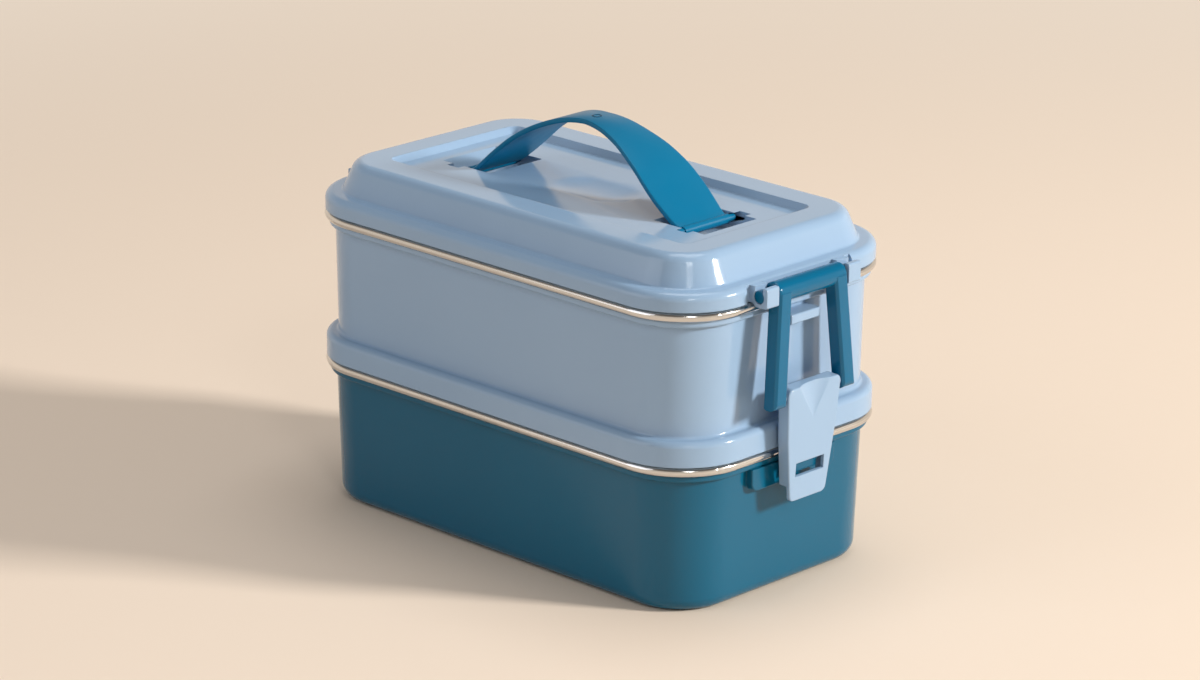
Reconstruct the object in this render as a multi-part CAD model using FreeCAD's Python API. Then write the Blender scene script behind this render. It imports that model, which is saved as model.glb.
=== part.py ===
import FreeCAD, Part
import math
import os

# Two-tier lunch box, in millimetres. +Z is up and the origin lies on the table, under the middle
# of the box. The long side runs along X, with a latch hanging at each end.
# An inset is a distance inwards from the outer edge of the rolled steel rims.

# Plan and heights of the two rolled rims
rim_length = 210.0
rim_width = 123.0
rim_corner_radius = 29.5
lower_rim_top = 59.1
tier_pitch = 59.65

# Drawn steel liners
steel_sheet = 0.6
rim_roll_diameter = 3.8
liner_bottom_radius = 8.0
liner_bend_radius = 1.0
liner_clearance = 0.6

# Moulded shells of the two tiers
shell_wall = 2.0
shell_inset = 4.2
lower_draft_deg = 2.0
upper_draft_deg = 1.0
lip_inset = 1.8
lip_height = 2.3
lip_radius = 1.0
rim_seat_gap = 0.1
shell_bottom_radius = 5.5
foot_width = 5.5
base_recess = 0.8

# Skirts and plugs that close each rim
skirt_inset = 0.2
skirt_wall = 2.2
skirt_gap = 0.3
shoulder_height = 9.9
shoulder_radius = 2.5
shoulder_root_radius = 1.2
plug_clearance = 0.9
plug_depth = 4.0
plug_wall = 2.0
gasket_inset = 3.8
gasket_width = 2.6
gasket_height = 2.4
gasket_gap = 0.15

# Lid
lid_wall = 2.2
ledge_rise = 7.25
ledge_radius = 3.2
dome_inset = 7.0
dome_root_radius = 1.0
plateau_inset = 12.0
plateau_rise = 18.95
plateau_radius = 5.0
panel_length = 156.0
panel_width = 67.0
panel_depth = 2.7
panel_radius = 2.5
panel_slope_deg = 30.0
dish_length = 42.0
dish_width = 26.0
dish_depth = 1.5

# Carrying strap
strap_thickness = 2.0
crown_radius = 44.0
crown_turn_deg = 17.0
flank_radius = 70.0
flank_turn_deg = 40.0
flank_straight = 19.0
foot_radius = 14.0
foot_turn_deg = 25.0
strap_waist = 14.2
strap_flank_width = 28.6
strap_foot_width = 24.6
strap_widening = 16.5
strap_widest = 41.8
end_bar_diameter = 3.8
end_pin_diameter = 2.8
end_pin_length = 3.2

# Pockets for the strap ends
pocket_wall = 2.2
pocket_inner_reach = 13.0
pocket_outer_reach = 13.0
pocket_depth = 5.5
pocket_ramp_deg = 30.0
pocket_inner_slope_deg = 35.0
pin_slot_travel = 5.5
pin_slot_clearance = 0.3

# Latch frames and the lugs that carry them
bar_diameter = 8.4
bar_length = 37.4
bar_end_radius = 2.4
axis_out = 2.7
axis_rise = 2.95
frame_pin_diameter = 5.0
frame_pin_length = 6.9
pin_end_radius = 0.4
pin_running_gap = 0.06
leg_depth = 6.6
leg_offset = 1.1
leg_width = 6.9
leg_spread = 3.9
leg_end = 3.6
leg_end_radius = 2.9
leg_bevel = 1.0
frame_tilt_deg = 2.4
lug_width = 6.6
lug_gap = 0.6
lug_front_wall = 1.6
lug_height_below = 3.9
lug_height_above = 3.8
lug_mouth = 4.0
lug_edge_radius = 0.8
notch_inset = 1.9
notch_wall = 1.6
notch_margin = 3.0

# Clasps, and the catches that they hook on
pivot_above_rim = 22.1
clasp_tilt_deg = 3.4
clasp_front = 2.9
clasp_depth = 5.0
clasp_plate = 1.6
clasp_wall = 1.8
clasp_top = 3.3
clasp_top_width = 29.4
clasp_waist_drop = 17.2
clasp_waist_width = 26.4
clasp_tail = 9.8
clasp_tail_width = 19.8
clasp_wall_end = 3.6
clasp_corner_radius = 2.6
clasp_edge_radius = 0.6
barrel_height = 7.2
clasp_pin_diameter = 4.0
clasp_pin_length = 3.0
clasp_pin_floor = 0.4
clasp_side_gap = 1.0
window_width = 15.6
window_height = 5.4
window_below_rim = 10.5
scoop_width = 18.0
scoop_length = 14.0
scoop_axis_deg = 45.0
catch_side_gap = 0.9
catch_clearance = 0.35
catch_height = 3.5
boss_width = 46.0
boss_stand = 3.0
boss_drop = 15.0
boss_corner_radius = 3.5
ledge_hook_width = 15.6
ledge_hook_height = 3.7
ledge_hook_drop = 11.7
ledge_hook_reach = 3.0
hook_edge_radius = 0.6

# How far a cut runs past the face that it opens, and the least length that counts as a flat
cut_past = 1.0
round_flat = 0.01

# Places that follow from the sizes above
upper_rim_top = lower_rim_top + tier_pitch
rim_end = rim_length / 2
corner_x = rim_end - rim_corner_radius
corner_y = rim_width / 2 - rim_corner_radius
lower_slope = math.tan(math.radians(lower_draft_deg))
upper_slope = math.tan(math.radians(upper_draft_deg))
liner_mouth_inset = shell_inset + shell_wall + liner_clearance + steel_sheet
plug_inset = liner_mouth_inset + plug_clearance
gasket_roof_rise = gasket_gap + gasket_height
panel_top = upper_rim_top + plateau_rise
panel_floor = panel_top - panel_depth
frame_axis = FreeCAD.Vector(rim_end + axis_out, 0, upper_rim_top + axis_rise)
clasp_pivot_z = lower_rim_top + pivot_above_rim
leg_length = frame_axis.z - clasp_pivot_z
lug_inner = bar_length / 2 + lug_gap
lug_outer = lug_inner + lug_width


def vector(x, y, z):
    return FreeCAD.Vector(x, y, z)


def rounded_face(corners, plane):
    # Closed outline through corners of (across, up, radius), laid in the given plane
    points = [plane(across, up) for across, up, radius in corners]
    edges = []
    arcs = []
    for i, (across, up, radius) in enumerate(corners):
        here = points[i]
        back = (points[i - 1] - here).normalize()
        ahead = (points[(i + 1) % len(points)] - here).normalize()
        half = back.getAngle(ahead) / 2
        run = radius / math.tan(half)
        middle = here + (back + ahead).normalize() * (radius / math.sin(half) - radius)
        arcs.append((here + back * run, middle, here + ahead * run, radius))
    for i, (start, middle, end, radius) in enumerate(arcs):
        before = arcs[i - 1][2]
        if before.distanceToPoint(start) > 1e-6:
            edges.append(Part.LineSegment(before, start).toShape())
        if radius:
            edges.append(Part.Arc(start, middle, end).toShape())
    return Part.Face(Part.Wire(edges))


def upright_x(across, up):
    return vector(across, 0, up)


def upright_y(across, up):
    return vector(0, across, up)


def flat(across, along):
    return vector(across, along, 0)


def section(corners):
    # Cross-section of a wall from (inset, height, radius), measured outwards from a corner's centre
    return rounded_face([(rim_corner_radius - inset, up, r) for inset, up, r in corners], upright_x)


def wall_section(path, thickness):
    # Cross-section of a wall of one thickness, to the left of its path of (inset, height, radius)
    line = [(rim_corner_radius - inset, up, r) for inset, up, r in path]
    runs = []
    for (x0, z0, r0), (x1, z1, r1) in zip(line, line[1:]):
        runs.append(vector(x1 - x0, 0, z1 - z0).normalize())
    other = []
    for i, (x, z, r) in enumerate(line):
        before = runs[max(i - 1, 0)]
        after = runs[min(i, len(runs) - 1)]
        turn = before.x * after.z - before.z * after.x
        reach = thickness / (1 + before.dot(after))
        shift = vector(-before.z - after.z, 0, before.x + after.x) * reach
        inside = thickness if turn > 0 else -thickness
        other.append((x + shift.x, z + shift.z, max(r - inside, 0) if r else 0))
    return rounded_face(line + other[::-1], upright_x)


def round_the_box(face, core=None):
    # Carries a section along the four sides and around the four corners of the plan
    centres = [
        vector(corner_x, corner_y, 0),
        vector(-corner_x, corner_y, 0),
        vector(-corner_x, -corner_y, 0),
        vector(corner_x, -corner_y, 0),
    ]
    pieces = []
    for i, end in enumerate(centres):
        start = centres[i - 1]
        side = face.copy()
        side.rotate(vector(0, 0, 0), vector(0, 0, 1), 90 * i)
        bend = side.copy()
        side.translate(start)
        bend.translate(end)
        pieces.append(side.extrude(end - start))
        pieces.append(bend.revolve(end, vector(0, 0, 1), 90))
    if core:
        low, high = core
        pieces.append(
            Part.makeBox(2 * corner_x, 2 * corner_y, high - low, vector(-corner_x, -corner_y, low))
        )
    return pieces[0].fuse(pieces[1:]).removeSplitter()


def block(x0, x1, half_width, z0, z1):
    return Part.makeBox(x1 - x0, 2 * half_width, z1 - z0, vector(x0, -half_width, z0))


def rod_y(radius, y0, y1, x, z):
    return Part.makeCylinder(radius, y1 - y0, vector(x, y0, z), vector(0, 1, 0))


def turned_about(shape, centre, degrees):
    # A positive turn carries what hangs below the centre outwards, at the +X end
    shape.rotate(centre, vector(0, -1, 0), degrees)
    return shape


def both_ends(shape):
    far = shape.copy()
    far.rotate(vector(0, 0, 0), vector(0, 0, 1), 180)
    return [shape, far]


def front_edges(shape, front, below):
    # Edges that lie in the front face, other than one along the height given
    found = []
    for edge in shape.Edges:
        box = edge.BoundBox
        if box.XMin > front - round_flat and box.ZMin < below - round_flat:
            found.append(edge)
    return found


def clasp_point(out, up):
    # Place of a point of the hanging clasp, given outwards and upwards from its pivot
    pivot = clasp_pivot()
    lean = math.radians(clasp_tilt_deg)
    x = pivot.x + out * math.cos(lean) + up * math.sin(lean)
    z = pivot.z + up * math.cos(lean) - out * math.sin(lean)
    return vector(x, 0, z)


def clasp_pivot():
    # Middle of the leg ends, after the frame has leaned out about its pins
    lean = math.radians(frame_tilt_deg)
    x = frame_axis.x + leg_offset * math.cos(lean) + leg_length * math.sin(lean)
    z = frame_axis.z - leg_length * math.cos(lean) + leg_offset * math.sin(lean)
    return vector(x, 0, z)


def window_drop():
    # Distance along the clasp from its pivot down to the lower edge of its window
    low = lower_rim_top - window_below_rim
    return (clasp_pivot().z - low) / math.cos(math.radians(clasp_tilt_deg))


def liner(rim_top, bottom, slope):
    # Basin whose wall bends out to a flat flange and ends in a closed roll over the shell's lip
    roll = rim_roll_diameter
    flange = rim_top - steel_sheet
    outside = liner_mouth_inset - steel_sheet
    bottom_outside = outside + slope * (flange - bottom)
    outline = [
        (rim_corner_radius, bottom, 0),
        (bottom_outside, bottom, liner_bottom_radius),
        (outside, flange, 0),
        (roll, flange, 0),
        (roll, rim_top - roll, 0),
        (0, rim_top - roll, roll / 2 - round_flat),
        (0, rim_top, roll / 2 - round_flat),
        (liner_mouth_inset, rim_top, liner_bend_radius),
        (bottom_outside + steel_sheet, bottom + steel_sheet, liner_bottom_radius - steel_sheet),
        (rim_corner_radius, bottom + steel_sheet, 0),
    ]
    return round_the_box(section(outline), (bottom, bottom + steel_sheet))


def lip_corners(rim_top):
    # Lip of a shell, from its wall up and over to the inside, just under the rolled rim
    top = rim_top - rim_roll_diameter - rim_seat_gap
    return [
        (shell_inset, top - lip_height, 0),
        (lip_inset, top - lip_height, lip_radius),
        (lip_inset, top, 0),
        (shell_inset + shell_wall, top, 0),
    ]


def catch_boss():
    # Boss under the lower lip that stiffens the wall, with the catch block on its face
    tip = clasp_point(clasp_front - clasp_plate, -clasp_length()).x - catch_clearance
    low = lower_rim_top - window_below_rim + catch_clearance
    face_x = rim_end - shell_inset + boss_stand
    lip_under = lower_rim_top - rim_roll_diameter - rim_seat_gap - lip_height
    foot = lower_rim_top - boss_drop
    inside = rim_end - shell_inset - lower_slope * boss_drop - shell_wall / 2
    outline = [
        (-boss_width / 2, lip_under, 0),
        (-boss_width / 2, foot, boss_corner_radius),
        (boss_width / 2, foot, boss_corner_radius),
        (boss_width / 2, lip_under, 0),
    ]
    boss = rounded_face(outline, upright_y).extrude(vector(face_x - inside, 0, 0))
    boss.translate(vector(inside, 0, 0))
    boss = boss.makeFillet(hook_edge_radius, front_edges(boss, face_x, lip_under))
    catch = block(inside, tip, window_width / 2 - catch_side_gap, low, low + catch_height)
    catch = catch.makeFillet(hook_edge_radius, front_edges(catch, tip, lip_under))
    return boss.fuse(catch)


def lower_shell():
    floor = base_recess + shell_wall
    lip = lip_corners(lower_rim_top)
    bottom_inset = shell_inset + lower_slope * lip[0][1]
    foot_inset = bottom_inset + shell_bottom_radius + foot_width
    outline = [
        (rim_corner_radius, base_recess, 0),
        (foot_inset + base_recess, base_recess, 0),
        (foot_inset, 0, 0),
        (bottom_inset, 0, shell_bottom_radius),
        *lip,
        (bottom_inset + shell_wall, floor, shell_bottom_radius - shell_wall),
        (rim_corner_radius, floor, 0),
    ]
    shell = round_the_box(section(outline), (base_recess, floor))
    return shell.fuse(both_ends(catch_boss())).removeSplitter()


def ledge_hook():
    # Ledge on the upper wall, where the clasp hooks when a tier is carried by itself
    front = rim_end + ledge_hook_reach
    inside = rim_end - shell_inset - shell_wall / 2 - upper_slope * tier_pitch
    low = upper_rim_top - ledge_hook_drop
    hook = block(inside, front, ledge_hook_width / 2, low, low + ledge_hook_height)
    return hook.makeFillet(hook_edge_radius, front_edges(hook, front, upper_rim_top))


def upper_shell():
    skirt = lower_rim_top + skirt_gap
    roof = lower_rim_top + gasket_roof_rise
    floor = roof + shell_wall
    shoulder = lower_rim_top + shoulder_height
    lip = lip_corners(upper_rim_top)
    shoulder_inset = shell_inset + upper_slope * (lip[0][1] - shoulder)
    floor_inset = shell_inset + upper_slope * (lip[0][1] - floor) + shell_wall
    outline = [
        (rim_corner_radius, roof, 0),
        (plug_inset + plug_wall, roof, 0),
        (plug_inset + plug_wall, lower_rim_top - plug_depth, 0),
        (plug_inset, lower_rim_top - plug_depth, 0),
        (plug_inset, roof, 0),
        (skirt_inset + skirt_wall, roof, 0),
        (skirt_inset + skirt_wall, skirt, 0),
        (skirt_inset, skirt, 0),
        (skirt_inset, shoulder, shoulder_radius),
        (shoulder_inset, shoulder, shoulder_root_radius),
        *lip,
        (floor_inset, floor, shell_bottom_radius - shell_wall),
        (rim_corner_radius, floor, 0),
    ]
    shell = round_the_box(section(outline), (roof, floor))
    return shell.fuse(both_ends(ledge_hook())).removeSplitter()


def gasket(rim_top):
    # Silicone ring with a waist, lying on the flat of the rim
    low = rim_top + gasket_gap
    high = low + gasket_height
    waist = gasket_width / 6
    middle = low + gasket_height / 2
    outline = [
        (gasket_inset, low, 0),
        (gasket_inset + waist, middle, 0),
        (gasket_inset, high, 0),
        (gasket_inset + gasket_width, high, 0),
        (gasket_inset + gasket_width - waist, middle, 0),
        (gasket_inset + gasket_width, low, 0),
    ]
    return round_the_box(section(outline))


def lid_inner_panel():
    # Plate with a rim that carries the gasket and a plug that drops into the upper liner
    roof = upper_rim_top + gasket_roof_rise
    seat = upper_rim_top + ledge_rise - lid_wall - rim_seat_gap
    low = upper_rim_top - plug_depth
    outline = [
        (rim_corner_radius, low, 0),
        (plug_inset, low, 0),
        (plug_inset, roof, 0),
        (gasket_inset, roof, 0),
        (gasket_inset, seat, 0),
        (plug_inset + plug_wall, seat, 0),
        (plug_inset + plug_wall, low + plug_wall, 0),
        (rim_corner_radius, low + plug_wall, 0),
    ]
    return round_the_box(section(outline), (low, low + plug_wall))


def tapered_panel(length, width, radius, low, high, slope_deg):
    # Rounded rectangle that widens upwards, for the recess in the lid
    spread = (high - low) * math.tan(math.radians(90 - slope_deg))
    rings = []
    for grow, height in ((0, low), (spread, high)):
        half_x = length / 2 + grow
        half_y = width / 2 + grow
        corners = [(half_x, half_y), (-half_x, half_y), (-half_x, -half_y), (half_x, -half_y)]
        ring = rounded_face([(x, y, radius + grow) for x, y in corners], flat).OuterWire
        ring.translate(vector(0, 0, height))
        rings.append(ring)
    return Part.makeLoft(rings, True, True)


def strap_foot():
    # Place and slope of the strap's upper face where its end bar begins, below a crown at zero
    crown = math.radians(crown_turn_deg)
    flank = math.radians(flank_turn_deg)
    foot = math.radians(foot_turn_deg)
    across = crown_radius * math.sin(crown)
    drop = crown_radius * (1 - math.cos(crown))
    across += flank_radius * (math.sin(flank) - math.sin(crown))
    drop += flank_radius * (math.cos(crown) - math.cos(flank))
    across += flank_straight * math.cos(flank)
    drop += flank_straight * math.sin(flank)
    across += foot_radius * (math.sin(flank) - math.sin(foot))
    drop += foot_radius * (math.cos(foot) - math.cos(flank))
    return across, drop, foot


def end_bar_place():
    # Middle of the strap's end bar: half its thickness below the recess floor and a little more
    across, drop, foot = strap_foot()
    x = across + end_bar_diameter / 2 * math.cos(foot)
    z = panel_floor - end_bar_diameter / 2 - pin_slot_clearance
    return x, z


def pocket_outline(inner, outer, floor, top):
    # Side view of a strap pocket: a floor between two ramps, the outer one for the end bar
    ramp = pocket_depth / math.tan(math.radians(pocket_ramp_deg))
    steep = pocket_depth / math.tan(math.radians(pocket_inner_slope_deg))
    return [
        (inner, panel_floor, 0),
        (inner + steep, floor, 0),
        (outer - ramp, floor, 0),
        (outer, panel_floor, 0),
        (outer, top, 0),
        (inner, top, 0),
    ]


def strap_pocket():
    # Returns the body that hangs under the lid and the hollow cut in it, for the +X end
    bar_x, bar_z = end_bar_place()
    inner = bar_x - pocket_inner_reach
    outer = bar_x + pocket_outer_reach
    half_width = strap_flank_width / 2
    floor = panel_floor - pocket_depth
    hollow_face = rounded_face(pocket_outline(inner, outer, floor, panel_top), upright_x)
    hollow = hollow_face.extrude(vector(0, 2 * half_width, 0))
    hollow.translate(vector(0, -half_width, 0))
    body = block(
        inner,
        outer + pocket_wall,
        half_width + pocket_wall,
        floor - pocket_wall,
        panel_floor - lid_wall / 2,
    )
    slot_radius = end_pin_diameter / 2 + pin_slot_clearance
    slot_half = half_width + pocket_wall + cut_past
    rise = pin_slot_travel * math.tan(math.radians(pocket_ramp_deg)) / 2
    slot = rod_y(slot_radius, -slot_half, slot_half, bar_x, bar_z)
    slot = slot.fuse(rod_y(slot_radius, -slot_half, slot_half, bar_x + pin_slot_travel, bar_z + rise))
    way = [
        (bar_x, bar_z - slot_radius, 0),
        (bar_x + pin_slot_travel, bar_z + rise - slot_radius, 0),
        (bar_x + pin_slot_travel, bar_z + rise + slot_radius, 0),
        (bar_x, bar_z + slot_radius, 0),
    ]
    run = rounded_face(way, upright_x).extrude(vector(0, 2 * slot_half, 0))
    run.translate(vector(0, -slot_half, 0))
    return body, hollow.fuse([slot, run])


def lugs():
    # Two open lugs at the +X end: the frame's pins snap down into them through a narrow mouth
    front = frame_axis.x + frame_pin_diameter / 2 + lug_front_wall
    back = rim_end - notch_inset - notch_wall / 2
    under = frame_axis.z - lug_height_below
    top = frame_axis.z + lug_height_above
    skirt = upper_rim_top + skirt_gap
    outline = [
        (back, skirt, 0),
        (rim_end - skirt_inset, skirt, 0),
        (rim_end + skirt - under, under, 0),
        (front, under, lug_edge_radius),
        (front, top, lug_edge_radius),
        (back, top, 0),
    ]
    seat_radius = frame_pin_diameter / 2 + pin_running_gap
    found = []
    for start in (lug_inner, -lug_outer):
        lug = rounded_face(outline, upright_x).extrude(vector(0, lug_width, 0))
        lug.translate(vector(0, start, 0))
        low, high = start - cut_past, start + lug_width + cut_past
        seat = rod_y(seat_radius, low, high, frame_axis.x, frame_axis.z)
        mouth = Part.makeBox(
            lug_mouth,
            lug_width + 2 * cut_past,
            lug_height_above + cut_past,
            vector(frame_axis.x - lug_mouth / 2, start - cut_past, frame_axis.z),
        )
        found.append(lug.cut([seat, mouth]))
    return found


def lid_shell():
    skirt = upper_rim_top + skirt_gap
    ledge = upper_rim_top + ledge_rise
    path = [
        (rim_corner_radius, panel_top, 0),
        (plateau_inset, panel_top, plateau_radius),
        (dome_inset, ledge, dome_root_radius),
        (skirt_inset, ledge, ledge_radius),
        (skirt_inset, skirt, 0),
    ]
    shell = round_the_box(wall_section(path, -lid_wall), (panel_top - lid_wall, panel_top))
    under = tapered_panel(
        panel_length + 2 * lid_wall,
        panel_width + 2 * lid_wall,
        panel_radius + lid_wall,
        panel_floor - lid_wall,
        panel_top - lid_wall / 2,
        90 - panel_slope_deg,
    )
    recess = tapered_panel(
        panel_length, panel_width, panel_radius, panel_floor, panel_top + round_flat, 90 - panel_slope_deg
    )
    bodies = [under]
    cuts = [recess]
    pocket, hollow = strap_pocket()
    bodies += both_ends(pocket)
    cuts += both_ends(hollow)
    notch_half = lug_outer + notch_margin
    wall_x = rim_end - notch_inset
    notch = block(wall_x, rim_end + cut_past, notch_half, skirt - cut_past, ledge + cut_past)
    wall = block(wall_x - notch_wall, wall_x, notch_half + notch_wall, skirt, ledge - lid_wall / 2)
    shell = shell.cut(both_ends(notch))
    bodies += both_ends(wall)
    for lug in lugs():
        bodies += both_ends(lug)
    cuts.append(finger_dish())
    return shell.fuse(bodies).cut(cuts).removeSplitter()


def finger_dish():
    # Shallow oval hollow under the strap's crown
    radius = (dish_width ** 2 / 4 + dish_depth ** 2) / (2 * dish_depth)
    straight = (dish_length - dish_width) / 2
    centre_z = panel_floor + radius - dish_depth
    ends = [Part.makeSphere(radius, vector(x, 0, centre_z)) for x in (-straight, straight)]
    middle = Part.makeCylinder(radius, 2 * straight, vector(-straight, 0, centre_z), vector(1, 0, 0))
    low = panel_floor - dish_depth - cut_past
    limit = block(-dish_length, dish_length, dish_width, low, panel_floor + cut_past)
    return ends[0].fuse([middle, ends[1]]).common(limit)


def strap_line(offset):
    # One face of the arch from crown to foot, as lines and arcs, with its last point
    across, drop, foot = strap_foot()
    bar_x, bar_z = end_bar_place()
    crown = math.radians(crown_turn_deg)
    flank = math.radians(flank_turn_deg)
    top = bar_z + drop + strap_thickness / 2 + (bar_x - across) * math.tan(foot) - offset

    def at(centre, radius, angle):
        return centre + vector(math.sin(angle), 0, math.cos(angle)) * radius

    radius = crown_radius - offset
    centre = vector(0, 0, top - radius)
    start = at(centre, radius, 0)
    edges = [Part.Arc(start, at(centre, radius, crown / 2), at(centre, radius, crown)).toShape()]
    joint = at(centre, radius, crown)
    centre = at(centre, radius - flank_radius + offset, crown)
    radius = flank_radius - offset
    end = at(centre, radius, flank)
    edges.append(Part.Arc(joint, at(centre, radius, (crown + flank) / 2), end).toShape())
    joint = end + vector(math.cos(flank), 0, -math.sin(flank)) * flank_straight
    edges.append(Part.LineSegment(end, joint).toShape())
    radius = foot_radius + offset
    centre = at(joint, radius, flank)
    end = at(centre, -radius, foot)
    edges.append(Part.Arc(joint, at(centre, -radius, (flank + foot) / 2), end).toShape())
    last = end + vector(math.cos(foot), 0, -math.sin(foot)) * (bar_x - across)
    edges.append(Part.LineSegment(end, last).toShape())
    return edges, start, last


def strap_plan():
    # Outline from above: narrow at the crown, wide on the flanks, narrower again at the feet
    bar_x = end_bar_place()[0]
    waist = strap_waist / 2
    wide = strap_flank_width / 2
    end = strap_foot_width / 2
    points = [(0, waist), (strap_widening, (2 * waist + wide) / 3), (strap_widest, wide), (bar_x, end)]
    half = [vector(-x, y, 0) for x, y in points[:0:-1]] + [vector(x, y, 0) for x, y in points]
    curve = Part.BSplineCurve()
    curve.interpolate(half)
    upper = curve.toShape()
    lower = upper.mirror(vector(0, 0, 0), vector(0, 1, 0))
    ends = [Part.LineSegment(vector(x, end, 0), vector(x, -end, 0)).toShape() for x in (-bar_x, bar_x)]
    return Part.Face(Part.Wire(Part.__sortEdges__([upper, lower, *ends])))


def handle_strap():
    # Thin arch between two pockets: a crown, two flanks and a foot that levels out at each end
    bar_x, bar_z = end_bar_place()
    over, crown_over, last_over = strap_line(0)
    under, crown_under, last_under = strap_line(strap_thickness)
    ends = [
        Part.LineSegment(crown_over, crown_under).toShape(),
        Part.LineSegment(last_over, last_under).toShape(),
    ]
    side = Part.Face(Part.Wire(Part.__sortEdges__(over + under + ends)))
    band = side.extrude(vector(0, strap_flank_width, 0))
    band.translate(vector(0, -strap_flank_width / 2, 0))
    band = band.fuse(both_ends(band)[1]).removeSplitter()
    plan = strap_plan().extrude(vector(0, 0, 2 * panel_top))
    strap = band.common(plan)
    half_bar = strap_foot_width / 2
    half_pin = half_bar + end_pin_length
    bar = rod_y(end_bar_diameter / 2, -half_bar, half_bar, bar_x, bar_z)
    pins = rod_y(end_pin_diameter / 2, -half_pin, half_pin, bar_x, bar_z)
    return strap.fuse(both_ends(bar) + both_ends(pins)).removeSplitter()


def frame_bar():
    # Top bar and its two pins, turned about their common axis
    half_bar = bar_length / 2
    half_pins = half_bar + frame_pin_length
    bar_radius = bar_diameter / 2
    pin_radius = frame_pin_diameter / 2
    outline = [
        (0, -half_pins, 0),
        (pin_radius, -half_pins, pin_end_radius),
        (pin_radius, -half_bar, 0),
        (bar_radius, -half_bar, bar_end_radius / 2),
        (bar_radius, half_bar, bar_end_radius / 2),
        (pin_radius, half_bar, 0),
        (pin_radius, half_pins, pin_end_radius),
        (0, half_pins, 0),
    ]
    return rounded_face(outline, flat).revolve(vector(0, 0, 0), vector(0, 1, 0), 360)


def latch_frame():
    # Bail with a round top bar, two splayed legs and a pin at each end of the bar
    half_bar = bar_length / 2
    bar = frame_bar()
    reach = leg_length + leg_end
    back = leg_offset - leg_depth / 2
    front = leg_offset + leg_depth / 2
    side = [(back, 0, 0), (back, -reach, leg_end_radius), (front, -reach, leg_end_radius), (front, 0, 0)]
    legs = []
    depth = rounded_face(side, upright_x).extrude(vector(0, 4 * half_bar, 0))
    depth.translate(vector(0, -2 * half_bar, 0))
    for hand in (1, -1):
        rings = []
        for splay, height in ((0, 0), (leg_spread, -reach)):
            near = hand * (half_bar - leg_width + splay)
            far = hand * (half_bar + splay)
            bevel = hand * leg_bevel
            corners = [
                (back + leg_bevel, near),
                (front - leg_bevel, near),
                (front, near + bevel),
                (front, far - bevel),
                (front - leg_bevel, far),
                (back + leg_bevel, far),
                (back, far - bevel),
                (back, near + bevel),
            ]
            ring = rounded_face([(x, y, 0) for x, y in corners], flat).OuterWire
            ring.translate(vector(0, 0, height))
            rings.append(ring)
        leg = Part.makeLoft(rings, True, True).common(depth)
        inner = half_bar - leg_width + leg_spread * leg_length / reach
        socket_end = inner + clasp_pin_length + clasp_pin_floor
        low, high = sorted((hand * (inner - leg_width), hand * socket_end))
        socket = rod_y(clasp_pin_diameter / 2 + pin_running_gap, low, high, leg_offset, -leg_length)
        legs.append(leg.cut(socket))
    frame = bar.fuse(legs).removeSplitter()
    frame.translate(frame_axis)
    return turned_about(frame, frame_axis, frame_tilt_deg)


def clasp_outline(trim, top, bottom):
    # Tapered front view, drawn in from its edge by trim and cut off at two heights
    def half_width(up):
        if up > -clasp_waist_drop:
            share = (clasp_top - up) / (clasp_top + clasp_waist_drop)
            return (clasp_top_width + share * (clasp_waist_width - clasp_top_width)) / 2 - trim
        share = (-clasp_waist_drop - up) / (clasp_length() - clasp_waist_drop)
        return (clasp_waist_width + share * (clasp_tail_width - clasp_waist_width)) / 2 - trim

    corner = max(clasp_corner_radius - trim, clasp_edge_radius)
    right = [
        (half_width(top), top, corner),
        (half_width(-clasp_waist_drop), -clasp_waist_drop, 0),
        (half_width(bottom), bottom, corner),
    ]
    return right + [(-across, up, radius) for across, up, radius in right[::-1]]


def clasp_length():
    return window_drop() + clasp_tail


def latch_clasp():
    # Channel that hooks over the catch: barrel and thumb scoop on top, window near the tail
    length = clasp_length()
    back = clasp_front - clasp_depth
    body = rounded_face(clasp_outline(0, clasp_top, -length), upright_y).extrude(vector(clasp_depth, 0, 0))
    body.translate(vector(back, 0, 0))
    body = body.makeFillet(clasp_edge_radius, front_edges(body, clasp_front, clasp_top + cut_past))
    wall_end = -length + clasp_tail - clasp_wall_end
    barrel_low = clasp_top - barrel_height
    hollow = rounded_face(clasp_outline(clasp_wall, barrel_low, wall_end), upright_y)
    hollow = hollow.extrude(vector(clasp_depth - clasp_plate, 0, 0))
    hollow.translate(vector(back, 0, 0))
    behind_tail = block(
        back - cut_past, clasp_front - clasp_plate, clasp_top_width, -length - cut_past, wall_end
    )
    low = -window_drop()
    window = block(back, clasp_front + cut_past, window_width / 2, low, low + window_height)
    lean = math.radians(scoop_axis_deg)
    open_angle = math.acos(math.cos(math.atan(scoop_width / 2 / scoop_length)) * math.cos(lean))
    axis = vector(math.sin(lean), 0, math.cos(lean))
    size = 2 * scoop_length
    start = vector(clasp_front, 0, clasp_top - scoop_length)
    scoop = Part.makeCone(0, size * math.tan(open_angle), size, start, axis)
    half_pins = clasp_top_width / 2 + clasp_side_gap + clasp_pin_length
    pins = rod_y(clasp_pin_diameter / 2, -half_pins, half_pins, 0, 0)
    clasp = body.cut([hollow, behind_tail, window]).fuse(pins).cut(scoop).removeSplitter()
    pivot = clasp_pivot()
    clasp.translate(pivot)
    return turned_about(clasp, pivot, -clasp_tilt_deg)


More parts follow.
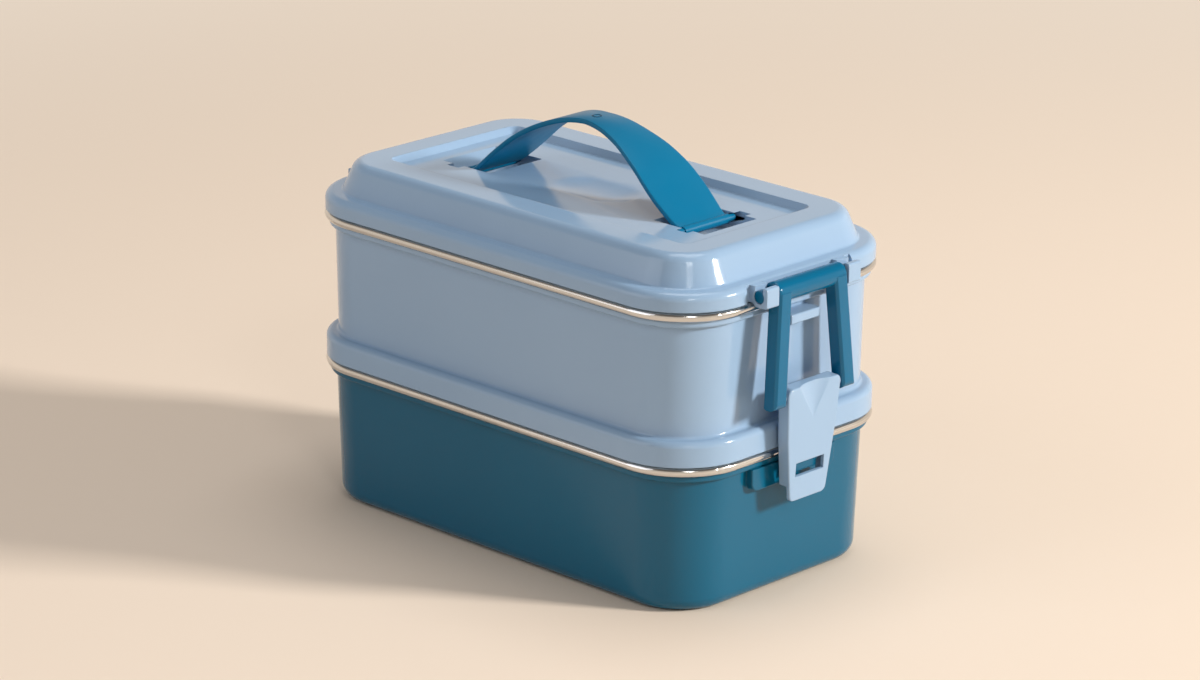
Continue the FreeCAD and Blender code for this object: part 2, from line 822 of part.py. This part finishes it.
def build():
    os.makedirs("parts", exist_ok=True)
    lower_floor = base_recess + shell_wall
    upper_floor = lower_rim_top + gasket_roof_rise + shell_wall
    right_frame, left_frame = both_ends(latch_frame())
    right_clasp, left_clasp = both_ends(latch_clasp())
    nodes = {
        "lower_shell": lower_shell(),
        "lower_liner": liner(lower_rim_top, lower_floor + liner_clearance, lower_slope),
        "upper_shell": upper_shell(),
        "upper_liner": liner(upper_rim_top, upper_floor + liner_clearance, upper_slope),
        "tier_gasket": gasket(lower_rim_top),
        "lid_shell": lid_shell(),
        "lid_inner_panel": lid_inner_panel(),
        "lid_gasket": gasket(upper_rim_top),
        "handle_strap": handle_strap(),
        "right_latch_frame": right_frame,
        "left_latch_frame": left_frame,
        "right_latch_clasp": right_clasp,
        "left_latch_clasp": left_clasp,
    }
    for name, shape in nodes.items():
        print(name, len(shape.Solids), shape.isValid(), round(shape.Volume), shape.BoundBox)
        shape.exportStep("parts/" + name + ".step")


build()
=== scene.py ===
import bpy
import bmesh
import math
from mathutils import Matrix, Vector


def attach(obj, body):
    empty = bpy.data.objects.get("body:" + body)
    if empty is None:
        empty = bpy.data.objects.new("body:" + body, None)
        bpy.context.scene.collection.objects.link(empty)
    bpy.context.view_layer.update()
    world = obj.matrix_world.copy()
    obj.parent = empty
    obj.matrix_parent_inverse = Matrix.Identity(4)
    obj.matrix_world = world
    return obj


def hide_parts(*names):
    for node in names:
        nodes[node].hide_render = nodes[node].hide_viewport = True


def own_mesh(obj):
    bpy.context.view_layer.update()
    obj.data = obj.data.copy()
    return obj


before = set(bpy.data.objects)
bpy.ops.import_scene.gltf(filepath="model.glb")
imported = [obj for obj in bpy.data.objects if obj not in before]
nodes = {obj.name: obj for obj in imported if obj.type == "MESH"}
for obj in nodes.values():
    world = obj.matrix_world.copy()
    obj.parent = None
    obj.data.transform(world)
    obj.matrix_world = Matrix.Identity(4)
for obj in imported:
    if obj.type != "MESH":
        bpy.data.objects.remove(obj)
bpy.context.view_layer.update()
scene = bpy.context.scene
mm = 0.001


# colours are written as sRGB hex and turned to linear here
def hexColour(code):
    channels = [int(code[i:i + 2], 16) / 255 for i in (1, 3, 5)]
    linear = [c / 12.92 if c <= 0.04045 else ((c + 0.055) / 1.055) ** 2.4 for c in channels]
    return (*linear, 1.0)


# adds a node, sets its properties and inputs, and links what is given as a socket
def addNode(tree, kind, settings=None, **inputs):
    node = tree.nodes.new(kind)
    for key, value in (settings or {}).items():
        setattr(node, key, value)
    for key, value in inputs.items():
        name = key.replace("_", " ")
        socket = node.inputs[int(key[1:])] if key[0] == "i" and key[1:].isdigit() else node.inputs[name]
        if isinstance(value, bpy.types.NodeSocket):
            tree.links.new(value, socket)
        else:
            socket.default_value = value
    return node


def newMaterial(name):
    material = bpy.data.materials.new(name)
    material.use_nodes = True
    tree = material.node_tree
    tree.nodes.clear()
    output = tree.nodes.new("ShaderNodeOutputMaterial")
    return material, tree, output


# how finely each pattern is broken up, and the part of the noise that shows in the gloss
grainDetail = {"drift": 2.0, "marks": 6.0, "peel": 1.0, "skin": 2.0, "strapMarks": 5.0, "lines": 3.0}
glossRange = {"low": 0.35, "high": 0.75}


# patterns are given by the width of one patch in millimetres
def patchScale(widthMm):
    return 1 / (widthMm * mm)


# a plain moulded plastic: slow colour drift, fine orange peel and faint handling marks in the gloss
def mouldedPlastic(name, settings):
    material, tree, output = newMaterial(name)
    coords = addNode(tree, "ShaderNodeTexCoord").outputs["Object"]
    drift = addNode(
        tree, "ShaderNodeTexNoise", Vector=coords, Scale=patchScale(settings["driftMm"]),
        Detail=grainDetail["drift"],
    )
    colour = addNode(
        tree, "ShaderNodeMix", {"data_type": "RGBA"},
        i0=drift.outputs["Fac"], i6=hexColour(settings["dark"]), i7=hexColour(settings["light"]),
    )
    marks = addNode(
        tree, "ShaderNodeTexNoise", Vector=coords, Scale=patchScale(settings["markMm"]),
        Detail=grainDetail["marks"],
    )
    rough = addNode(
        tree, "ShaderNodeMapRange", i0=marks.outputs["Fac"], i1=glossRange["low"], i2=glossRange["high"],
        i3=settings["roughLow"], i4=settings["roughHigh"],
    )
    peel = addNode(
        tree, "ShaderNodeTexNoise", Vector=coords, Scale=patchScale(settings["peelMm"]),
        Detail=grainDetail["peel"],
    )
    edge = addNode(tree, "ShaderNodeBevel", {"samples": 6}, Radius=settings["edgeMm"] * mm)
    bump = addNode(
        tree, "ShaderNodeBump", Strength=settings["peelStrength"], Distance=settings["peelDepthMm"] * mm,
        Height=peel.outputs["Fac"], Normal=edge.outputs[0],
    )
    shader = addNode(
        tree, "ShaderNodeBsdfPrincipled", Base_Color=colour.outputs[2], Roughness=rough.outputs[0],
        IOR=settings["ior"], Specular_IOR_Level=settings["specular"], Normal=bump.outputs[0],
    )
    tree.links.new(shader.outputs[0], output.inputs[0])
    return material


# light blue polypropylene: grey-blue body with a sharp studio gloss
bluePlastic = {
    "dark": "#8DA9C6", "light": "#95B1CD", "driftMm": 90, "markMm": 14, "roughLow": 0.10, "roughHigh": 0.17,
    "peelMm": 2.2, "peelStrength": 0.04, "peelDepthMm": 0.05, "ior": 1.5, "specular": 0.5, "edgeMm": 0.5,
}
# dark teal polypropylene: the same gloss over a deep petrol colour
tealPlastic = {
    "dark": "#065674", "light": "#0A5E7D", "driftMm": 80, "markMm": 12, "roughLow": 0.12, "roughHigh": 0.19,
    "peelMm": 2.2, "peelStrength": 0.04, "peelDepthMm": 0.05, "ior": 1.5, "specular": 0.36, "edgeMm": 0.5,
}
# saturated teal for the latch frames, shiny and a little uneven
framePlastic = {
    "dark": "#005A7E", "light": "#006288", "driftMm": 60, "markMm": 6, "roughLow": 0.10, "roughHigh": 0.17,
    "peelMm": 1.4, "peelStrength": 0.05, "peelDepthMm": 0.05, "ior": 1.5, "specular": 0.36, "edgeMm": 0.6,
}
# white silicone: soft, with a dull skin
sealRubber = {
    "dark": "#D7DADC", "light": "#E2E4E5", "driftMm": 40, "markMm": 5, "roughLow": 0.45, "roughHigh": 0.6,
    "peelMm": 0.6, "peelStrength": 0.1, "peelDepthMm": 0.03, "ior": 1.41, "specular": 0.5, "edgeMm": 0.3,
}
blue = mouldedPlastic("polypropylene_light_blue_gloss", bluePlastic)
teal = mouldedPlastic("polypropylene_dark_teal_gloss", tealPlastic)
frameTeal = mouldedPlastic("polypropylene_teal_gloss", framePlastic)
silicone = mouldedPlastic("silicone_white_soft", sealRubber)


# drawn stainless steel, polished: bright mirror with faint drawing lines, coarser than real so that they show
steelSheet = {
    "light": "#DDDCDA", "dark": "#CAC8C5", "lineMm": 0.8, "stretchMm": 40,
    "roughLow": 0.12, "roughHigh": 0.17, "lineLow": 0.3, "lineHigh": 0.7,
}


def polishedSteel():
    material, tree, output = newMaterial("stainless_steel_polished")
    coords = addNode(tree, "ShaderNodeTexCoord").outputs["Object"]
    stretch = patchScale(steelSheet["stretchMm"])
    fine = patchScale(steelSheet["lineMm"])
    mapping = addNode(tree, "ShaderNodeMapping", Vector=coords, Scale=(stretch, stretch, fine))
    lines = addNode(
        tree, "ShaderNodeTexNoise", Vector=mapping.outputs[0], Scale=1.0, Detail=grainDetail["lines"],
    )
    colour = addNode(
        tree, "ShaderNodeMix", {"data_type": "RGBA"},
        i0=lines.outputs["Fac"], i6=hexColour(steelSheet["dark"]), i7=hexColour(steelSheet["light"]),
    )
    rough = addNode(
        tree, "ShaderNodeMapRange", i0=lines.outputs["Fac"],
        i1=steelSheet["lineLow"], i2=steelSheet["lineHigh"],
        i3=steelSheet["roughLow"], i4=steelSheet["roughHigh"],
    )
    shader = addNode(
        tree, "ShaderNodeBsdfPrincipled", Base_Color=colour.outputs[2], Roughness=rough.outputs[0],
        Metallic=1.0,
    )
    tree.links.new(shader.outputs[0], output.inputs[0])
    return material


steel = polishedSteel()

finishes = {
    "lower_shell": teal, "lower_liner": steel, "upper_shell": blue, "upper_liner": steel,
    "tier_gasket": silicone, "lid_shell": blue, "lid_inner_panel": blue, "lid_gasket": silicone,
    "handle_strap": frameTeal, "right_latch_frame": frameTeal, "left_latch_frame": frameTeal,
    "right_latch_clasp": blue, "left_latch_clasp": blue,
}
for name, material in finishes.items():
    nodes[name].data.materials.clear()
    nodes[name].data.materials.append(material)
print("materials assigned to", len(finishes), "nodes")

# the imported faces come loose: this joins them and keeps only real corners sharp
smoothing = {"joinMm": 0.004, "sharpDegrees": 28, "flatWeight": 100}


def smoothingGroup():
    group = bpy.data.node_groups.new("smoothShading", "GeometryNodeTree")
    group.interface.new_socket("Geometry", in_out="INPUT", socket_type="NodeSocketGeometry")
    group.interface.new_socket("Geometry", in_out="OUTPUT", socket_type="NodeSocketGeometry")
    start = group.nodes.new("NodeGroupInput")
    end = group.nodes.new("NodeGroupOutput")
    joined = addNode(
        group, "GeometryNodeMergeByDistance", Geometry=start.outputs[0], Distance=smoothing["joinMm"] * mm,
    )
    angle = addNode(group, "GeometryNodeInputMeshEdgeAngle")
    gentle = addNode(
        group, "FunctionNodeCompare", {"data_type": "FLOAT", "operation": "LESS_THAN"},
        i0=angle.outputs["Unsigned Angle"], i1=math.radians(smoothing["sharpDegrees"]),
    )
    faces = addNode(
        group, "GeometryNodeSetShadeSmooth", {"domain": "FACE"}, Geometry=joined.outputs[0],
        Shade_Smooth=True,
    )
    edges = addNode(
        group, "GeometryNodeSetShadeSmooth", {"domain": "EDGE"}, Geometry=faces.outputs[0],
        Shade_Smooth=gentle.outputs[0],
    )
    group.links.new(edges.outputs[0], end.inputs[0])
    return group


smoothGroup = smoothingGroup()
for name in finishes:
    nodes[name].modifiers.new("smoothShading", "NODES").node_group = smoothGroup
    weighted = nodes[name].modifiers.new("flatFaces", "WEIGHTED_NORMAL")
    weighted.keep_sharp = True
    weighted.weight = smoothing["flatWeight"]
print("smooth shading on the frame's nodes")

# carrying strap: a thin band with rounded edges over an end bar, bent as a crown, two flanks and two feet
strap = {
    "crownZ": 164.02, "crownRadius": 44.0, "crownTurn": 17.0, "flankRadius": 70.0, "flankTurn": 40.0,
    "straight": 19.0, "footRadius": 14.0, "footTurn": 25.0,
    "thickness": 2.0, "edge": 0.75, "bandWidth": 28.6,
    "widths": [(0, 14.2), (16.5, 19.0), (30, 25.3), (41.8, 28.6), (50, 27.4), (56.7, 24.6)],
    "barX": 56.72, "barZ": 132.8, "barRadius": 1.9, "barLength": 24.6, "pinRadius": 1.4, "pinReach": 15.5,
    "gateRadius": 1.7, "gateBead": 0.3, "gateSink": 0.12, "stations": 44, "travel": 18.0,
    "edgeSteps": 4, "rodSides": 28, "ringSides": 36, "beadSides": 10, "joinMm": 0.001, "sharpDegrees": 40,
}


def strapStations():
    crown, flank, foot = (math.radians(strap[k]) for k in ("crownTurn", "flankTurn", "footTurn"))
    runs = [
        (strap["crownRadius"], 0, crown), (strap["flankRadius"], crown, flank),
        (strap["straight"], flank, flank), (-strap["footRadius"], flank, foot),
    ]
    x, z = 0.0, strap["crownZ"]
    stations = [(x, z, 0.0)]
    for size, start, stop in runs:
        steps = strap["stations"] // 4
        startX, startZ = x, z
        for i in range(1, steps + 1):
            angle = start + (stop - start) * i / steps
            if start == stop:
                x = startX + size * i / steps * math.cos(angle)
                z = startZ - size * i / steps * math.sin(angle)
            else:
                radius = abs(size)
                turn = 1 if size > 0 else -1
                x = startX + turn * radius * (math.sin(angle) - math.sin(start))
                z = startZ - turn * radius * (math.cos(start) - math.cos(angle))
            stations.append((x, z, angle))
    reach = strap["barX"] - x
    stations.append((strap["barX"], z - reach * math.tan(foot), foot))
    return stations


def strapPath():
    curve = bpy.data.curves.new("strapPath", "CURVE")
    curve.dimensions = "3D"
    half = strapStations()
    stations = [(-x, z, -angle) for x, z, angle in half[:0:-1]] + half
    spline = curve.splines.new("POLY")
    spline.points.add(len(stations) - 1)
    depth = strap["thickness"] / 2
    for point, (x, z, angle) in zip(spline.points, stations):
        point.co = ((x - depth * math.sin(angle)) * mm, 0, (z - depth * math.cos(angle)) * mm, 1)
    piece = bpy.data.objects.new("strapPath", curve)
    scene.collection.objects.link(piece)
    return piece


# a rounded band swept along the path, narrowed in plan towards crown and feet, with a bar and pins at each
# end and the small ring that moulding leaves on the crown
def strapTree(material):
    group = bpy.data.node_groups.new("carryingStrap", "GeometryNodeTree")
    group.interface.new_socket("Geometry", in_out="INPUT", socket_type="NodeSocketGeometry")
    sizes = {
        "Band Width": strap["bandWidth"], "Thickness": strap["thickness"], "Edge Radius": strap["edge"],
        "Bar Place": strap["barX"], "Bar Height": strap["barZ"], "Bar Radius": strap["barRadius"],
        "Bar Length": strap["barLength"], "Pin Radius": strap["pinRadius"], "Pin Reach": strap["pinReach"],
        "Gate Radius": strap["gateRadius"], "Gate Bead": strap["gateBead"],
        "Gate Height": strap["crownZ"] - strap["gateSink"],
    }
    for name, size in sizes.items():
        socket = group.interface.new_socket(name, in_out="INPUT", socket_type="NodeSocketFloat")
        socket.default_value = size * mm
    group.interface.new_socket("Geometry", in_out="OUTPUT", socket_type="NodeSocketGeometry")
    given = group.nodes.new("NodeGroupInput").outputs
    end = group.nodes.new("NodeGroupOutput")
    path = addNode(group, "GeometryNodeSetCurveNormal", {"mode": "Z_UP"}, Curve=given["Geometry"])
    section = addNode(
        group, "GeometryNodeCurvePrimitiveQuadrilateral",
        Width=given["Band Width"], Height=given["Thickness"],
    )
    rounded = addNode(
        group, "GeometryNodeFilletCurve", {"mode": "POLY"}, Curve=section.outputs[0],
        Radius=given["Edge Radius"], Count=strap["edgeSteps"],
    )
    band = addNode(
        group, "GeometryNodeCurveToMesh", Curve=path.outputs[0], Profile_Curve=rounded.outputs[0],
        Fill_Caps=True,
    )
    position = addNode(group, "GeometryNodeInputPosition")
    place = addNode(group, "ShaderNodeSeparateXYZ", Vector=position.outputs[0])
    out = addNode(group, "ShaderNodeMath", {"operation": "ABSOLUTE"}, i0=place.outputs["X"])
    share = addNode(
        group, "ShaderNodeMath", {"operation": "DIVIDE"}, i0=out.outputs[0], i1=given["Bar Place"],
    )
    plan = addNode(group, "ShaderNodeFloatCurve", Value=share.outputs[0])
    points = plan.mapping.curves[0].points
    marks = [(x / strap["barX"], width / strap["bandWidth"]) for x, width in strap["widths"]]
    points[0].location, points[1].location = marks[0], marks[-1]
    for mark in marks[1:-1]:
        points.new(*mark)
    plan.mapping.update()
    across = addNode(
        group, "ShaderNodeMath", {"operation": "MULTIPLY"}, i0=place.outputs["Y"], i1=plan.outputs[0],
    )
    shaped = addNode(
        group, "ShaderNodeCombineXYZ", X=place.outputs["X"], Y=across.outputs[0], Z=place.outputs["Z"],
    )
    waisted = addNode(
        group, "GeometryNodeSetPosition", Geometry=band.outputs[0], Position=shaped.outputs[0],
    )
    left = addNode(group, "ShaderNodeMath", {"operation": "MULTIPLY"}, i0=given["Bar Place"], i1=-1.0)
    start = addNode(group, "ShaderNodeCombineXYZ", X=left.outputs[0], Z=given["Bar Height"])
    step = addNode(group, "ShaderNodeMath", {"operation": "MULTIPLY"}, i0=given["Bar Place"], i1=2.0)
    apart = addNode(group, "ShaderNodeCombineXYZ", X=step.outputs[0])
    ends = addNode(
        group, "GeometryNodeMeshLine", {"mode": "OFFSET"}, Count=2, Start_Location=start.outputs[0],
        Offset=apart.outputs[0],
    )
    joined = addNode(group, "GeometryNodeJoinGeometry")
    group.links.new(waisted.outputs[0], joined.inputs[0])
    pinLength = addNode(group, "ShaderNodeMath", {"operation": "MULTIPLY"}, i0=given["Pin Reach"], i1=2.0)
    rods = (
        (given["Bar Radius"], given["Bar Length"]),
        (given["Pin Radius"], pinLength.outputs[0]),
    )
    for radius, length in rods:
        rod = addNode(
            group, "GeometryNodeMeshCylinder", Vertices=strap["rodSides"], Radius=radius, Depth=length,
        )
        placed = addNode(
            group, "GeometryNodeInstanceOnPoints", Points=ends.outputs[0], Instance=rod.outputs[0],
            Rotation=(math.pi / 2, 0, 0),
        )
        group.links.new(placed.outputs[0], joined.inputs[0])
    ring = addNode(
        group, "GeometryNodeCurvePrimitiveCircle", {"mode": "RADIUS"},
        Resolution=strap["ringSides"], Radius=given["Gate Radius"],
    )
    bead = addNode(
        group, "GeometryNodeCurvePrimitiveCircle", {"mode": "RADIUS"},
        Resolution=strap["beadSides"], Radius=given["Gate Bead"],
    )
    gate = addNode(group, "GeometryNodeCurveToMesh", Curve=ring.outputs[0], Profile_Curve=bead.outputs[0])
    crown = addNode(group, "ShaderNodeCombineXYZ", Z=given["Gate Height"])
    raised = addNode(group, "GeometryNodeTransform", Geometry=gate.outputs[0], Translation=crown.outputs[0])
    group.links.new(raised.outputs[0], joined.inputs[0])
    real = addNode(group, "GeometryNodeRealizeInstances", Geometry=joined.outputs[0])
    smooth = addNode(group, "GeometryNodeSetShadeSmooth", Geometry=real.outputs[0], Shade_Smooth=True)
    finished = addNode(group, "GeometryNodeSetMaterial", Geometry=smooth.outputs[0], Material=material)
    group.links.new(finished.outputs[0], end.inputs[0])
    return group


def makeStrap(material):
    path = strapPath()
    path.modifiers.new("carryingStrap", "NODES").node_group = strapTree(material)
    bpy.context.view_layer.update()
    shaped = path.evaluated_get(bpy.context.evaluated_depsgraph_get())
    data = bpy.data.meshes.new_from_object(shaped)
    data.name = "carrying_strap"
    bpy.data.objects.remove(path)
    mesh = bmesh.new()
    mesh.from_mesh(data)
    bmesh.ops.remove_doubles(mesh, verts=mesh.verts, dist=strap["joinMm"] * mm)
    bmesh.ops.recalc_face_normals(mesh, faces=mesh.faces)
    mesh.to_mesh(data)
    mesh.free()
    data.set_sharp_from_angle(angle=math.radians(strap["sharpDegrees"]))
    piece = bpy.data.objects.new("carrying_strap", data)
    scene.collection.objects.link(piece)
    return piece


# soft teal elastomer: satin skin, with painted shade darkening the colour around the moulding ring
strapSkin = {
    "dark": "#00668D", "light": "#006F97", "driftMm": 50, "roughLow": 0.32, "roughHigh": 0.38, "markMm": 5,
    # the gate colour and its width are painted shade around the moulding ring
    "gateShadeWidthMm": 0.6, "gate": "#003A55", "grainMm": 0.8, "grainDepthMm": 0.01, "grainStrength": 0.4,
    "specular": 0.22,
}


def strapRubber():
    material, tree, output = newMaterial("elastomer_teal_satin")
    coords = addNode(tree, "ShaderNodeTexCoord").outputs["Object"]
    drift = addNode(
        tree, "ShaderNodeTexNoise", Vector=coords, Scale=patchScale(strapSkin["driftMm"]),
        Detail=grainDetail["drift"],
    )
    colour = addNode(
        tree, "ShaderNodeMix", {"data_type": "RGBA"},
        i0=drift.outputs["Fac"], i6=hexColour(strapSkin["dark"]), i7=hexColour(strapSkin["light"]),
    )
    marks = addNode(
        tree, "ShaderNodeTexNoise", Vector=coords, Scale=patchScale(strapSkin["markMm"]),
        Detail=grainDetail["strapMarks"],
    )
    rough = addNode(
        tree, "ShaderNodeMapRange", i0=marks.outputs["Fac"], i1=glossRange["low"], i2=glossRange["high"],
        i3=strapSkin["roughLow"], i4=strapSkin["roughHigh"],
    )
    # painted shade: a thin dark band is mixed into the colour around the moulding ring on the crown, where
    # its groove would hold shade
    plan = addNode(tree, "ShaderNodeVectorMath", {"operation": "MULTIPLY"}, i0=coords, i1=(1, 1, 0))
    distance = addNode(tree, "ShaderNodeVectorMath", {"operation": "LENGTH"}, i0=plan.outputs[0])
    offset = addNode(
        tree, "ShaderNodeMath", {"operation": "SUBTRACT"},
        i0=distance.outputs["Value"], i1=strap["gateRadius"] * mm,
    )
    away = addNode(tree, "ShaderNodeMath", {"operation": "ABSOLUTE"}, i0=offset.outputs[0])
    grooveShade = addNode(
        tree, "ShaderNodeMapRange", {"interpolation_type": "SMOOTHSTEP"}, i0=away.outputs[0], i1=0.0,
        i2=strapSkin["gateShadeWidthMm"] * mm, i3=0.0, i4=1.0,
    )
    grain = addNode(
        tree, "ShaderNodeTexNoise", Vector=coords, Scale=patchScale(strapSkin["grainMm"]),
        Detail=grainDetail["skin"],
    )
    skin = addNode(
        tree, "ShaderNodeBump", Strength=strapSkin["grainStrength"],
        Distance=strapSkin["grainDepthMm"] * mm, Height=grain.outputs["Fac"],
    )
    ringShaded = addNode(
        tree, "ShaderNodeMix", {"data_type": "RGBA"},
        i0=grooveShade.outputs[0], i6=hexColour(strapSkin["gate"]), i7=colour.outputs[2],
    )
    shader = addNode(
        tree, "ShaderNodeBsdfPrincipled", Base_Color=ringShaded.outputs[2], Roughness=rough.outputs[0],
        Specular_IOR_Level=strapSkin["specular"], Normal=skin.outputs[0],
    )
    tree.links.new(shader.outputs[0], output.inputs[0])
    return material


strapPiece = makeStrap(strapRubber())
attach(strapPiece, "handle")
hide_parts("handle_strap")
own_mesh(strapPiece)
print("strap bent over its two feet")

# camera where the photograph was taken from, solved from its straight lines and rims
view = {
    "place": (1.141090, -1.179095, 0.616100), "yaw": 0.767899, "pitch": 0.319048, "roll": 0.0085959,
    "focalPixels": 4462.943, "imageWidth": 1200.0, "sensor": 36.0, "nearClip": 0.05, "farClip": 20.0,
}


def placeCamera():
    data = bpy.data.cameras.new("camera")
    data.sensor_width = view["sensor"]
    data.lens = view["focalPixels"] / view["imageWidth"] * view["sensor"]
    data.clip_start = view["nearClip"]
    data.clip_end = view["farClip"]
    yaw, pitch, roll = view["yaw"], view["pitch"], view["roll"]
    forward = Vector((-math.sin(yaw) * math.cos(pitch), math.cos(yaw) * math.cos(pitch), -math.sin(pitch)))
    level = Vector((math.cos(yaw), math.sin(yaw), 0))
    over = level.cross(forward)
    right = math.cos(roll) * level + math.sin(roll) * over
    up = -math.sin(roll) * level + math.cos(roll) * over
    camera = bpy.data.objects.new("camera", data)
    turned = Matrix((right, up, -forward)).transposed().to_4x4()
    camera.matrix_world = Matrix.Translation(view["place"]) @ turned
    scene.collection.objects.link(camera)
    scene.camera = camera


placeCamera()

# pale warm table top that fades into the plain background away from the box
stageSettings = {
    "floor": "#EBDAC8", "far": "#EBDCCB", "size": 30.0, "fadeStart": 0.4, "fadeEnd": 1.2, "fleckMm": 9,
    "roughLow": 0.7, "roughHigh": 0.85,
}


def makeFloor():
    mesh = bpy.data.meshes.new("floor")
    half = stageSettings["size"] / 2
    corners = [(-half, -half, 0), (half, -half, 0), (half, half, 0), (-half, half, 0)]
    mesh.from_pydata(corners, [], [(0, 1, 2, 3)])
    floor = bpy.data.objects.new("floor", mesh)
    scene.collection.objects.link(floor)
    material, tree, output = newMaterial("matt_paper_floor")
    coords = addNode(tree, "ShaderNodeTexCoord").outputs["Object"]
    fleck = addNode(tree, "ShaderNodeTexNoise", Vector=coords, Scale=patchScale(stageSettings["fleckMm"]))
    rough = addNode(
        tree, "ShaderNodeMapRange", i0=fleck.outputs["Fac"],
        i3=stageSettings["roughLow"], i4=stageSettings["roughHigh"],
    )
    paper = addNode(
        tree, "ShaderNodeBsdfPrincipled", Base_Color=hexColour(stageSettings["floor"]),
        Roughness=rough.outputs[0],
    )
    far = addNode(tree, "ShaderNodeEmission", Color=hexColour(stageSettings["far"]))
    distance = addNode(tree, "ShaderNodeVectorMath", {"operation": "LENGTH"}, i0=coords)
    fade = addNode(
        tree, "ShaderNodeMapRange", {"interpolation_type": "SMOOTHSTEP"}, i0=distance.outputs["Value"],
        i1=stageSettings["fadeStart"], i2=stageSettings["fadeEnd"],
    )
    seen = addNode(tree, "ShaderNodeLightPath")
    mirrored = addNode(
        tree, "ShaderNodeMath", {"operation": "MAXIMUM"},
        i0=seen.outputs["Is Camera Ray"], i1=seen.outputs["Is Glossy Ray"],
    )
    direct = addNode(
        tree, "ShaderNodeMath", {"operation": "MAXIMUM"},
        i0=mirrored.outputs[0], i1=seen.outputs["Is Transmission Ray"],
    )
    share = addNode(
        tree, "ShaderNodeMath", {"operation": "MULTIPLY"}, i0=fade.outputs[0], i1=direct.outputs[0],
    )
    mixed = addNode(
        tree, "ShaderNodeMixShader", i0=share.outputs[0], i1=paper.outputs[0], i2=far.outputs[0],
    )
    tree.links.new(mixed.outputs[0], output.inputs[0])
    mesh.materials.append(material)


makeFloor()

# soft studio light: a key from the right, a small lamp on the near corner, a fill and a top light
lamps = {
    "key": {"place": (2.45, 1.41, 1.28), "aimHeight": 0.08, "size": 0.43, "power": 105, "colour": "#FFFAF4"},
    "corner": {"place": (1.2, -0.75, 1.05), "aimHeight": 0.1, "size": 0.3, "power": 2.6, "colour": "#FFFFFF"},
    "fill": {"place": (-0.6, -1.5, 0.9), "aimHeight": 0.06, "size": 1.2, "power": 6.0, "colour": "#EEF3FF"},
    "top": {"place": (-0.1, 0.3, 1.7), "aimHeight": 0.1, "size": 0.9, "power": 7.0, "colour": "#FFFFFF"},
}
surround = {
    "light": "#EDE6DE", "strength": 0.38, "shown": "#EBDCCB", "dim": "#6A6560",
    "wallTop": 0.2, "ceiling": 0.65,
}


def lightStage():
    for name, lamp in lamps.items():
        data = bpy.data.lights.new(name, "AREA")
        data.size = lamp["size"]
        data.energy = lamp["power"]
        data.color = hexColour(lamp["colour"])[:3]
        light = bpy.data.objects.new(name, data)
        light.location = lamp["place"]
        aim = Vector((0, 0, lamp["aimHeight"])) - Vector(lamp["place"])
        light.rotation_euler = aim.to_track_quat("-Z", "Y").to_euler()
        scene.collection.objects.link(light)
    world = bpy.data.worlds.new("surround")
    scene.world = world
    world.use_nodes = True
    tree = world.node_tree
    tree.nodes.clear()
    output = tree.nodes.new("ShaderNodeOutputWorld")
    path = addNode(tree, "ShaderNodeLightPath")
    mirrored = addNode(
        tree, "ShaderNodeMath", {"operation": "MAXIMUM"},
        i0=path.outputs["Is Glossy Ray"], i1=path.outputs["Is Transmission Ray"],
    )
    # reflections meet the pale wall at the height of the table and a dim ceiling above it
    coords = addNode(tree, "ShaderNodeTexCoord").outputs["Generated"]
    direction = addNode(tree, "ShaderNodeSeparateXYZ", Vector=coords)
    height = addNode(
        tree, "ShaderNodeMapRange", {"interpolation_type": "SMOOTHSTEP"}, i0=direction.outputs["Z"],
        i1=surround["wallTop"], i2=surround["ceiling"],
    )
    room = addNode(
        tree, "ShaderNodeMix", {"data_type": "RGBA"}, i0=height.outputs[0],
        i6=hexColour(surround["shown"]), i7=hexColour(surround["dim"]),
    )
    lit = addNode(
        tree, "ShaderNodeBackground", Color=hexColour(surround["light"]), Strength=surround["strength"],
    )
    shown = addNode(tree, "ShaderNodeBackground", Color=hexColour(surround["shown"]), Strength=1.0)
    studio = addNode(tree, "ShaderNodeBackground", Color=room.outputs[2], Strength=1.0)
    reflected = addNode(
        tree, "ShaderNodeMixShader", i0=mirrored.outputs[0], i1=lit.outputs[0], i2=studio.outputs[0],
    )
    mixed = addNode(
        tree, "ShaderNodeMixShader",
        i0=path.outputs["Is Camera Ray"], i1=reflected.outputs[0], i2=shown.outputs[0],
    )
    tree.links.new(mixed.outputs[0], output.inputs[0])


lightStage()
scene.view_settings.view_transform = "Standard"
print("camera, floor and lights ready")
